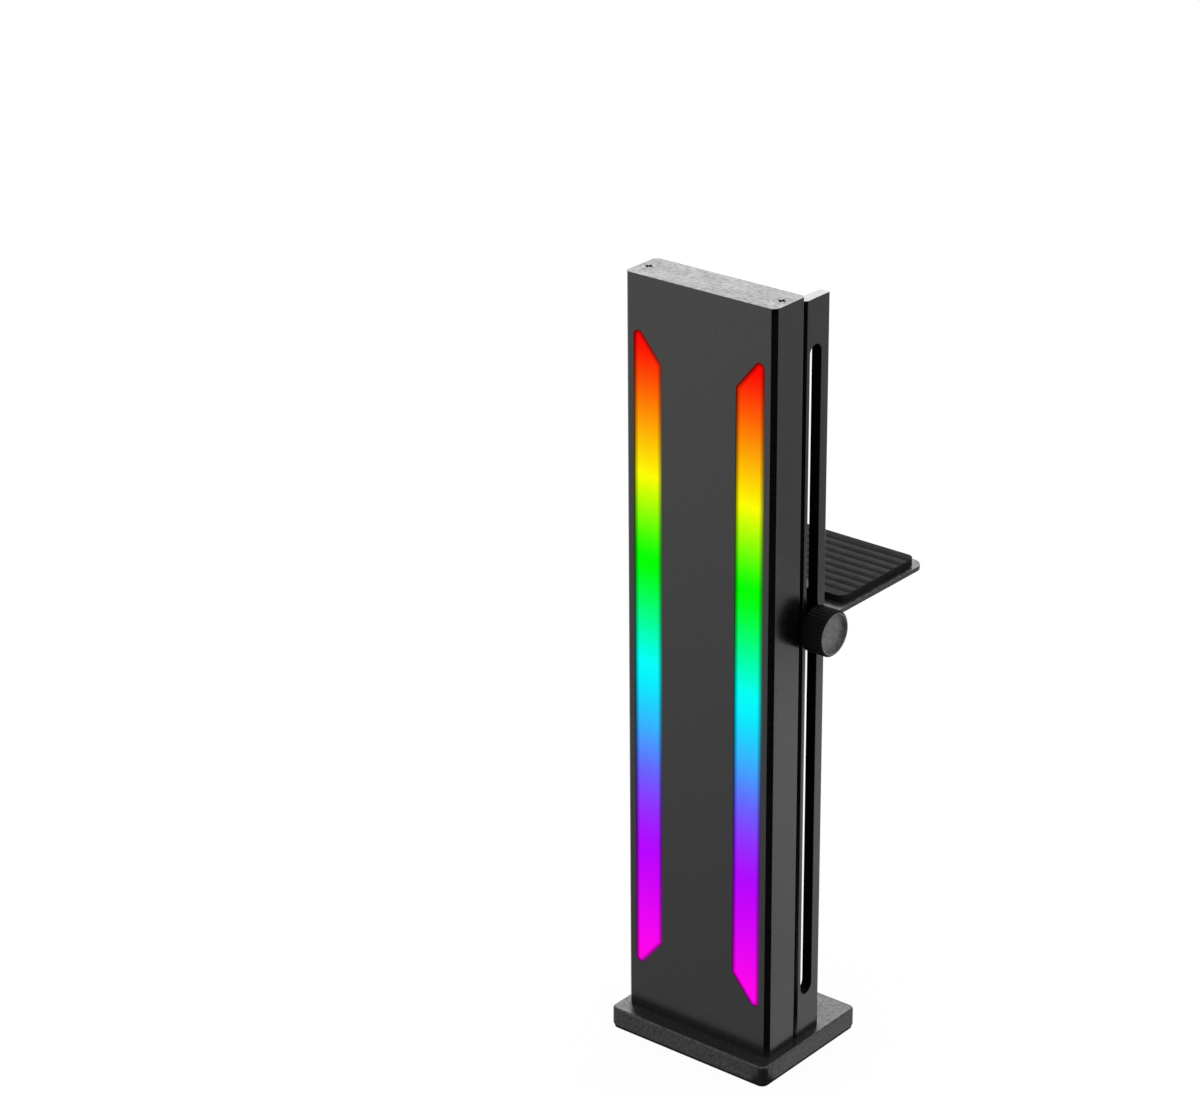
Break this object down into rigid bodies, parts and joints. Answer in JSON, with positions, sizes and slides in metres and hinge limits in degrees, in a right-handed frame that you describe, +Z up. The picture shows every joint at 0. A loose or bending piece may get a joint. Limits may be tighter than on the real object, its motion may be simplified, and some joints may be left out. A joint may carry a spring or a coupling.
{
  "type": "graphics card support bracket",
  "caption": "Free-standing lit column on a small base, with a support arm that slides in a rear rail and is clamped by a thumb knob.",
  "frame": {"origin": "centre of the base's underside, on the surface it stands on", "axes": "+Z up along the column, front panel towards -Y, support arm towards +Y, thumb knob towards +X"},
  "size_m": [0.0458, 0.0582, 0.174],
  "materials": {
    "grey_paint": "satin",
    "black_rubber": "matte",
    "magnet_plating": "polished",
    "black_screw": "satin",
    "dark_anodised": "satin",
    "black_panel": "gloss",
    "light_diffuser": "satin",
    "circuit_board": "satin",
    "led_package": "satin",
    "black_moulding": "matte",
    "socket_moulding": "satin",
    "contact_brass": "polished",
    "knob_black": "satin",
    "steel_stud": "satin"
  },
  "bodies": {
    "column": {"base_plate": "grey_paint", "base_pad": "black_rubber", "base_magnets": "magnet_plating", "base_screws": "black_screw", "light_housing": "dark_anodised", "front_panel": "black_panel", "diffuser_left": "light_diffuser", "diffuser_right": "light_diffuser", "led_board_left": "circuit_board", "led_board_right": "circuit_board", "leds_left": "led_package", "leds_right": "led_package", "control_board": "circuit_board", "control_chip": "black_moulding", "power_socket": "socket_moulding", "socket_pins": "contact_brass", "top_cap": "dark_anodised", "top_cap_screws": "black_screw", "rail": "dark_anodised", "rail_screws": "black_screw", "foot_block": "black_moulding", "foot_screw": "black_screw"},
    "carriage": {"slider_block": "black_moulding", "support_arm": "grey_paint", "arm_pad": "black_rubber", "arm_screws": "black_screw"},
    "washer": {"clamp_washer": "black_moulding"},
    "knob": {"thumb_knob": "knob_black", "clamp_stud": "steel_stud"}
  },
  "joints": [
    {"name": "arm_height", "type": "slide", "parent": "column", "child": "carriage", "axis": [0, 0, 1], "range_m": [-0.0847, 0.0601]},
    {"name": "knob_release", "type": "slide", "parent": "carriage", "child": "washer", "axis": [1, 0, 0], "range_m": [0, 0.001]},
    {"name": "knob_turn", "type": "hinge", "parent": "washer", "child": "knob", "pos_m": [0.01955, 0.0007, 0.1012], "axis": [1, 0, 0], "range_deg": [0, 720]}
  ],
  "couplings": [
    {"joint": "knob_turn", "follows": "knob_release", "rad_per_m": 12566}
  ]
}
